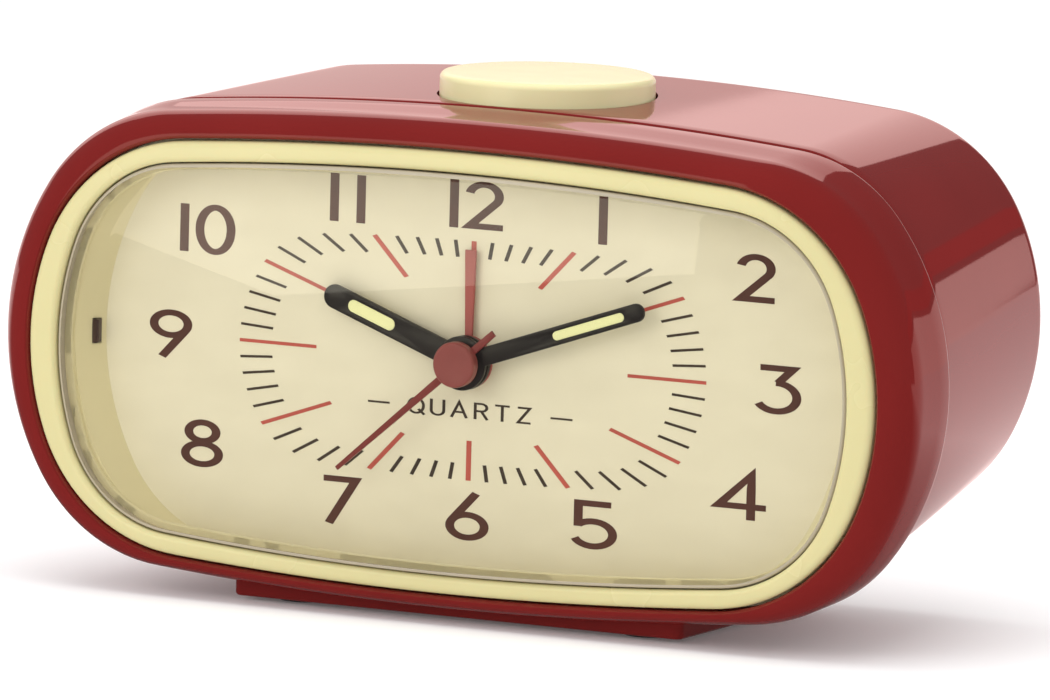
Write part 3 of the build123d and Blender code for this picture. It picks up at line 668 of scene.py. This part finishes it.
def sheet_piece(name, loops, span, angle, material, edge=0.12):
    """A flat stamping with eased edges. The first loop is its outline and the rest are holes."""
    spin = Matrix.Rotation(-radians(angle), 2)
    work = bmesh.new()
    ends = ([], [])
    for index, loop in enumerate(loops):
        if (signed_area(loop) > 0) != (index == 0):
            loop = loop[::-1]
        rows = [(edge, span[0]), (edge * 0.3, span[0] + edge * 0.3), (0.0, span[0] + edge), (0.0, span[1])]
        made_rows = []
        for inset, y in rows:
            points = [spin @ Vector(p) for p in inset_loop(loop, inset)]
            made_rows.append([work.verts.new((p.x, y, p.y)) for p in points])
        for near, far in zip(made_rows, made_rows[1:]):
            for k in range(len(near)):
                n = (k + 1) % len(near)
                work.faces.new((near[k], near[n], far[n], far[k]))
        for end, row in zip(ends, (made_rows[0], made_rows[-1])):
            for k in range(len(row)):
                end.append(work.edges.get((row[k], row[(k + 1) % len(row)])))
    for end in ends:
        bmesh.ops.triangle_fill(work, use_beauty=True, edges=end)
    mesh = bpy.data.meshes.new(name)
    work.to_mesh(mesh)
    work.free()
    points = [tuple(v.co) for v in mesh.vertices]
    faces = [tuple(p.vertices) for p in mesh.polygons]
    bpy.data.meshes.remove(mesh)
    return make_piece(name, points, faces, material, crease=28)


def pillow_piece(name, loop, span, angle, material, lift):
    """A thin domed fill inside a loop, as of paint that has flowed level."""
    return sheet_piece(name, [loop], (span[0] - lift, span[1]), angle, material, edge=lift)


def hour_hand():
    lume = slot_loop(1.75, 12.7, 18.7)
    loops = [boss_loop(3.4, 21.9, 3.8), circle_loop(HOUR_R), lume]
    made = sheet_piece("hour_blade", loops, HOUR_Y, HOUR_ANGLE, MATERIALS["black_paint"])
    settle(made, "hour", "black_paint", "hour_hand")
    span = (HOUR_Y[0] + 0.12, HOUR_Y[1] - 0.1)
    glow = pillow_piece("hour_glow", lume, span, HOUR_ANGLE, MATERIALS["lume"], 0.06)
    settle(glow, "hour", "lume", "hour_lume")


def minute_hand():
    lume = slot_loop(1.3, 15.6, 25.8)
    loops = [boss_loop(2.6, 28.35, 3.8), circle_loop(MINUTE_R), lume]
    made = sheet_piece("minute_blade", loops, MINUTE_Y, MINUTE_ANGLE, MATERIALS["black_paint"])
    settle(made, "minute", "black_paint", "minute_hand")
    span = (MINUTE_Y[0] + 0.12, MINUTE_Y[1] - 0.1)
    glow = pillow_piece("minute_glow", lume, span, MINUTE_ANGLE, MATERIALS["lume"], 0.06)
    settle(glow, "minute", "lume", "minute_lume")


def second_hand():
    """A thin tapering pointer with a tail, crossing a small boss."""
    boss = 1.6
    outline = [(0.30, 24.6), (-0.30, 24.6)]
    left = [(boss * cos(t), boss * sin(t)) for t in [radians(110 + 140 * k / 16) for k in range(17)]]
    right = [(boss * cos(t), boss * sin(t)) for t in [radians(-70 + 140 * k / 16) for k in range(17)]]
    outline += left + [(-0.45, -7.2), (0.45, -7.2)] + right
    loops = [outline, circle_loop(ARBOR_R, 24)]
    made = sheet_piece("second_pointer", loops, SECOND_Y, SECOND_ANGLE, MATERIALS["red_paint"], 0.08)
    settle(made, "second", "red_paint", "second_hand")


def alarm_hand():
    boss = 3.7
    around = [(boss * cos(t), boss * sin(t)) for t in [radians(98.5 + 343 * k / 48) for k in range(49)]]
    outline = [(0.85, 15.6), (-0.85, 15.6)] + around
    loops = [outline, circle_loop(ALARM_R)]
    made = sheet_piece("alarm_pointer", loops, ALARM_Y, ALARM_ANGLE, MATERIALS["alarm_paint"], 0.08)
    settle(made, "alarm", "red_paint", "alarm_hand")


def second_cap():
    """The boss that covers the hands' axis: a faint dish inside a rounded rim."""
    front, back = CAP_Y
    profile = [(0.001, front + 0.10), (1.2, front + 0.09), (2.2, front + 0.04)]
    for k in range(9):
        turn = pi / 2 * k / 8
        profile.append((3.2 - 0.4 * (1 - sin(turn)), front + 0.4 * (1 - cos(turn))))
    profile += [(3.2, back), (ARBOR_R, back), (ARBOR_R, SECOND_Y[0] - 0.5), (0.001, SECOND_Y[0] - 0.5)]
    made = make_piece("axis_cap", *capped(turned(profile, 64)), MATERIALS["cap_paint"])
    settle(made, "second", "red_paint", "second_cap")


# ---------------------------------------------------------------- print on the dial
def arc(middle, reach, start, end, steps=26):
    """Points along an ellipse from one turn to another, in degrees from +x."""
    turns = [radians(start + (end - start) * k / steps) for k in range(steps + 1)]
    return [(middle[0] + reach[0] * cos(t), middle[1] + reach[1] * sin(t)) for t in turns]


def stroke(path, width, closed=False):
    """Left and right edges of a pen stroke with butt ends and mitred corners."""
    left, right = [], []
    count = len(path)
    for k, point in enumerate(path):
        here = Vector(point)
        before = Vector(path[k - 1]) if closed or k else None
        after = Vector(path[(k + 1) % count]) if closed or k < count - 1 else None
        ways = [(here - before).normalized()] if before else []
        ways += [(after - here).normalized()] if after else []
        across = sum((Vector((-w.y, w.x)) for w in ways), Vector((0, 0))).normalized()
        reach = width / 2 / max(0.35, across.dot(Vector((-ways[0].y, ways[0].x))))
        left.append(here + across * reach)
        right.append(here - across * reach)
    return left, right


class Print:
    """Collects strokes of one ink and makes them one thin raised mesh on the dial."""

    def __init__(self):
        self.points, self.faces, self.layer = [], [], 0

    def draw(self, path, width, closed=False, size=1.0, spot=(0.0, 0.0)):
        """A stroke in the dial's unwidened plane, scaled by size, its middle then put at a spot."""
        left, right = stroke(path, width, closed)
        front, back = -PRINT_T - self.layer * 0.003, 0.02
        self.layer = (self.layer + 1) % 4
        count, first = len(path), len(self.points)
        for side, y in ((left, front), (right, front), (right, back), (left, back)):
            self.points += [(p.x * size * WIDEN + spot[0], y, p.y * size + spot[1]) for p in side]
        for k in range(count if closed else count - 1):
            n = (k + 1) % count
            for row in range(4):
                a, b = first + row * count, first + (row + 1) % 4 * count
                self.faces.append((a + k, a + n, b + n, b + k))
        if not closed:
            for k in (0, count - 1):
                self.faces.append(tuple(first + row * count + k for row in range(4)))

    def piece(self, name, material, slot):
        made = make_piece(name, self.points, self.faces, MATERIALS[material], crease=30)
        return settle(made, "case", slot)


# Numerals and letters as pen strokes, half their height being 1. A stroke is a path and whether it closes.
GLYPHS = {
    "0": [(arc((0, 0), (0.45, 0.93), 0, 345, 46), True)],
    "1": [([(0, -1), (0, 1)], False)],
    "2": [(arc((0.0, 0.40), (0.42, 0.475), 168, -30) + [(-0.40, -0.875), (0.54, -0.875)], False)],
    "3": [([(-0.50, 0.875), (0.40, 0.875), (0.0, 0.27)], False),
          (arc((-0.04, -0.315), (0.57, 0.585), 92, -150), False)],
    "4": [([(0.32, 0.30), (0.32, 0.86), (-0.58, -0.45), (0.74, -0.45)], False),
          ([(0.32, -1), (0.32, 0.34)], False)],
    "5": [([(0.44, 0.875), (-0.48, 0.875), (-0.48, -0.10)], False),
          (arc((-0.06, -0.375), (0.56, 0.52), 138, -155), False)],
    "6": [(arc((0, -0.395), (0.49, 0.475), 0, 345, 46), True), ([(-0.435, -0.17), (0.24, 1.0)], False)],
    "7": [([(-0.50, 0.875), (0.42, 0.875), (-0.32, -1)], False)],
    "8": [(arc((0, 0.48), (0.395, 0.39), 0, 345, 40), True),
          (arc((0, -0.45), (0.483, 0.435), 0, 345, 40), True)],
    "9": [(arc((0, 0.395), (0.49, 0.475), 0, 345, 46), True), ([(0.435, 0.17), (-0.24, -1.0)], False)],
    "Q": [(arc((0, 0), (0.62, 0.9), 0, 345, 40), True), ([(0.20, -0.40), (0.70, -1.05)], False)],
    "U": [([(-0.52, 1)] + arc((0, -0.36), (0.52, 0.54), 180, 360) + [(0.52, 1)], False)],
    "A": [([(-0.62, -1), (0, 0.9), (0.62, -1)], False), ([(-0.40, -0.32), (0.40, -0.32)], False)],
    "R": [([(-0.45, -1), (-0.45, 0.9)] + arc((0.08, 0.45), (0.42, 0.45), 90, -90) + [(-0.34, 0.0)], False),
          ([(0.05, 0.0), (0.56, -1)], False)],
    "T": [([(-0.60, 0.9), (0.60, 0.9)], False), ([(0, 0.9), (0, -1)], False)],
    "Z": [([(-0.52, 0.9), (0.48, 0.9), (-0.48, -0.9), (0.56, -0.9)], False)],
}
PAIR_STEPS = {"2": (0.28,), "10": (-0.65, 0.24), "11": (-0.38, 0.38), "12": (-0.59, 0.26)}


def numeral_spot(hour):
    """A numeral's middle. The four quarters of the dial mirror each other."""
    along = hour if hour <= 6 else 12 - hour
    x, z = NUMERAL_SPOTS[12 if along in (0, 6) else along if along <= 3 else 6 - along]
    return (x if hour <= 6 else -x), (z if along <= 3 and hour != 6 else -z)


def numerals():
    ink = Print()
    for hour in range(1, 13):
        text = str(hour)
        for letter, step in zip(text, PAIR_STEPS.get(text, (0.0,))):
            for path, closed in GLYPHS[letter]:
                shifted = [(x + step, z) for x, z in path]
                ink.draw(shifted, DIGIT_STROKE, closed, DIGIT_HALF, numeral_spot(hour))
    ink.piece("dial_numerals", "print_brown", "red_paint")


def track_reach(turn, outline):
    """How far the minute track's outer oval is from the hub in a direction clockwise from twelve."""
    way = Vector((sin(turn), cos(turn)))
    for a, b in zip(outline, outline[1:] + outline[:1]):
        a, b = Vector(a), Vector(b)
        side_a, side_b = way.cross(a), way.cross(b)
        if side_a * side_b <= 0 and side_a != side_b and way.dot(a + b) > 0:
            return (a + (b - a) * (side_a / (side_a - side_b))).length
    return 0.0


def minute_track():
    """Long red ticks at the hours and short dark ones at the minutes."""
    hours, minutes = Print(), Print()
    outline = oval_points(TRACK)
    for minute in range(60):
        turn = 2 * pi * minute / 60
        on_hour = minute % 5 == 0
        ink = hours if on_hour else minutes
        width = HOUR_TICK_W if on_hour else MINUTE_TICK_W
        share = HOUR_TICK_TO if on_hour else MINUTE_TICK_TO
        reach = track_reach(turn, outline)
        ends = [(sin(turn) * r, cos(turn) * r) for r in (reach * share, reach)]
        ink.draw(ends, width)
    hours.piece("dial_hour_ticks", "print_red", "red_paint")
    minutes.piece("dial_minute_ticks", "print_dark", "black_paint")


def caption():
    """A small generic word between two dashes, where such dials carry their lettering."""
    ink = Print()
    word, half, middle, width = "QUARTZ", 1.15, -6.9, 0.24
    step, dash_steps = 2.05, 4.232
    for index, letter in enumerate(word):
        spot = ((index - (len(word) - 1) / 2) * step * WIDEN, middle)
        for path, closed in GLYPHS[letter]:
            ink.draw(path, width, closed, half, spot)
    for side in (-1, 1):
        spot = (side * dash_steps * step * WIDEN, middle)
        ink.draw([(-0.9, 0), (0.9, 0)], width, False, half, spot)
    ink.piece("dial_caption", "print_dark", "black_paint")


# ---------------------------------------------------------------- CAD nodes that stay
def dress_nodes():
    """Every CAD node that is still shown gets the material of its slot."""
    for row in frame["record"]["subparts"]:
        node = frame["nodes"][row["node"]]
        if node.hide_render:
            continue
        node.data.materials.clear()
        node.data.materials.append(MATERIALS[row["material_slot"]])


# ---------------------------------------------------------------- studio
# The case mirrors a dim room with a few warm cards in it. The eye and plain light get a white one.
CARD_TINT = (1.0, 0.70, 0.66, 1)
SLIM_TINT = (1.0, 0.2, 0.2, 1)
VEIL_TINT = (1.0, 0.94, 0.80, 1)
ROOM_LIGHT, ROOM_MIRRORED = 0.92, 0.13


def floor():
    """A pale sheet that runs out past every view. In reflections it shows a painted reflection instead: a
    glow, dark on its near side and pale pink further back.
    """
    made, tree, shader = new_material("floor_paper")
    paper = tinted(tree, grain(tree, 400.0, 3.0), (0.955, 0.955, 0.955), (0.97, 0.97, 0.97))
    tree.links.new(paper, shader.inputs["Base Color"])
    shader.inputs["Roughness"].default_value = 0.9
    shader.inputs["Specular IOR Level"].default_value = 0.1
    shader.inputs["Emission Color"].default_value = (1, 1, 1, 1)
    shader.inputs["Emission Strength"].default_value = 0.07
    where = add(tree, "ShaderNodeTexCoord")
    axes = add(tree, "ShaderNodeSeparateXYZ")
    tree.links.new(where.outputs["Object"], axes.inputs["Vector"])
    # Painted reflection: a glow, dark near the front and pale pink behind, shown only in what the gloss
    # mirrors.
    painted_reflection = add(tree, "ShaderNodeEmission", Strength=1.35)
    tree.links.new(tinted(tree, axes.outputs["Y"], (0.10, 0.08, 0.08), (1.0, 0.78, 0.76), -0.05, 0.10),
                   painted_reflection.inputs["Color"])
    swap_in_reflections(tree, shader.outputs["BSDF"], painted_reflection.outputs["Emission"],
                        tree.nodes["Material Output"].inputs["Surface"])
    half = 8.0
    corners = [(-half, -half, -2e-5), (half, -half, -2e-5), (half, half, -2e-5), (-half, half, -2e-5)]
    mesh = bpy.data.meshes.new("floor")
    mesh.from_pydata(corners, [], [(0, 1, 2, 3)])
    mesh.materials.append(made)
    sheet = bpy.data.objects.new("floor", mesh)
    bpy.context.collection.objects.link(sheet)


def swap_in_reflections(tree, plain, mirrored, target):
    """Shows one shader to the eye and to plain light, and another one in what the gloss mirrors."""
    ray = add(tree, "ShaderNodeLightPath")
    first = add(tree, "ShaderNodeMath", operation="LESS_THAN")
    first.inputs[1].default_value = 0.5
    both = add(tree, "ShaderNodeMath", operation="MULTIPLY")
    tree.links.new(ray.outputs["Diffuse Depth"], first.inputs[0])
    tree.links.new(ray.outputs["Is Glossy Ray"], both.inputs[0])
    tree.links.new(first.outputs[0], both.inputs[1])
    blend = add(tree, "ShaderNodeMixShader")
    tree.links.new(both.outputs[0], blend.inputs["Fac"])
    tree.links.new(plain, blend.inputs[1])
    tree.links.new(mirrored, blend.inputs[2])
    tree.links.new(blend.outputs["Shader"], target)


def reflector(name, corners, strength, colour):
    """A glowing card that only shows in reflections, as a soft box does in a glossy case."""
    made = bpy.data.materials.new(name)
    made.use_nodes = True
    tree = made.node_tree
    glow = add(tree, "ShaderNodeEmission", Color=colour, Strength=strength)
    tree.links.new(glow.outputs["Emission"], tree.nodes["Material Output"].inputs["Surface"])
    mesh = bpy.data.meshes.new(name)
    mesh.from_pydata(corners, [], [tuple(range(len(corners)))])
    mesh.materials.append(made)
    card = bpy.data.objects.new(name, mesh)
    bpy.context.collection.objects.link(card)
    card.visible_camera = card.visible_diffuse = card.visible_shadow = False


def far_card(name, turns, heights, strength, colour=CARD_TINT):
    """A reflector behind the clock, from one azimuth and elevation to another, in degrees from +Y."""
    reach = 2.0
    corners = []
    for turn, height in ((0, 0), (1, 0), (1, 1), (0, 1)):
        a, e = radians(turns[turn]), radians(heights[height])
        corners.append((reach * sin(a), reach * cos(a), reach * sin(e) / cos(e)))
    reflector(name, corners, strength, colour)


def softbox(name, spot, target, size, power):
    """A rectangular soft light aimed at a point. It lights the clock and stays out of its gloss."""
    lamp = bpy.data.lights.new(name, "AREA")
    lamp.shape, lamp.size, lamp.size_y, lamp.energy = "RECTANGLE", size[0], size[1], power
    made = bpy.data.objects.new(name, lamp)
    made.location = spot
    made.rotation_euler = (Vector(target) - Vector(spot)).to_track_quat("-Z", "Y").to_euler()
    made.visible_glossy = False
    bpy.context.collection.objects.link(made)


def studio():
    """The room's light, two soft boxes, and the cards that the case and the lens mirror."""
    world = bpy.data.worlds.new("studio")
    world.use_nodes = True
    tree = world.node_tree
    tree.nodes["Background"].inputs["Color"].default_value = (1, 1, 1, 1)
    tree.nodes["Background"].inputs["Strength"].default_value = ROOM_LIGHT
    dim = add(tree, "ShaderNodeBackground", Color=(1, 1, 1, 1), Strength=ROOM_MIRRORED)
    swap_in_reflections(tree, tree.nodes["Background"].outputs[0], dim.outputs[0],
                        tree.nodes["World Output"].inputs["Surface"])
    bpy.context.scene.world = world
    softbox("overhead", (0.0, -0.05, 0.70), (0, 0, 0.03), (0.7, 0.5), 2.0)
    softbox("front_left", (-0.34, -0.78, 0.38), (0, 0, 0.03), (0.5, 0.5), 1.9)
    far_card("card_back", (-62, -6.5), (11.7, 40), 1.6)
    far_card("card_low", (-70, 12), (1, 11.2), 1.0)
    far_card("card_right", (18, 75), (-1, 11), 1.5)
    far_card("card_slim", (14, 75), (12, 16), 0.45, SLIM_TINT)
    veil_y = -0.18
    veil = [(-0.160, 0.034), (-0.1145, 0.024), (-0.025, 0.0358), (-0.020, 0.085), (-0.160, 0.085)]
    reflector("card_veil", [(x, veil_y, z) for x, z in veil], 1.5, VEIL_TINT)
    bpy.context.scene.view_settings.view_transform = "Standard"


def camera():
    """A long lens, a little to the right of the dial and a little above it, slightly rolled."""
    azimuth, elevation, roll = radians(27.0), radians(7.5), radians(1.5)
    distance, scale = 2000.0, 0.1386     # millimetres, and millimetres to a picture element
    picture_w, sensor = 1050, 36.0
    aim_right, aim_up = 7.46, 1.54       # from the hub to the middle of the picture
    back = Vector((sin(azimuth) * cos(elevation), -cos(azimuth) * cos(elevation), sin(elevation)))
    level = Vector((cos(azimuth), sin(azimuth), 0))
    upright = back.cross(level)
    right = cos(roll) * level + sin(roll) * upright
    up = -sin(roll) * level + cos(roll) * upright
    lens_data = bpy.data.cameras.new("camera")
    lens_data.sensor_width = sensor
    lens_data.lens = distance / scale * sensor / picture_w
    lens_data.clip_start, lens_data.clip_end = 0.05, 50.0
    made = bpy.data.objects.new("camera", lens_data)
    bpy.context.collection.objects.link(made)
    spot = Vector((0, DIAL_Y, HUB_Z)) + back * distance + right * aim_right + up * aim_up
    pose = Matrix((right, up, back)).transposed().to_4x4()
    pose.translation = spot * MM
    made.matrix_world = pose
    bpy.context.scene.camera = made


# ---------------------------------------------------------------- build
for build in (
    camera, front_bezel, body_shell, trim_ring, lens, dial_surround, snooze_button, button_spring,
    hour_hand, minute_hand, second_hand, alarm_hand, second_cap,
    numerals, minute_track, caption, dress_nodes, floor, studio,
):
    build()
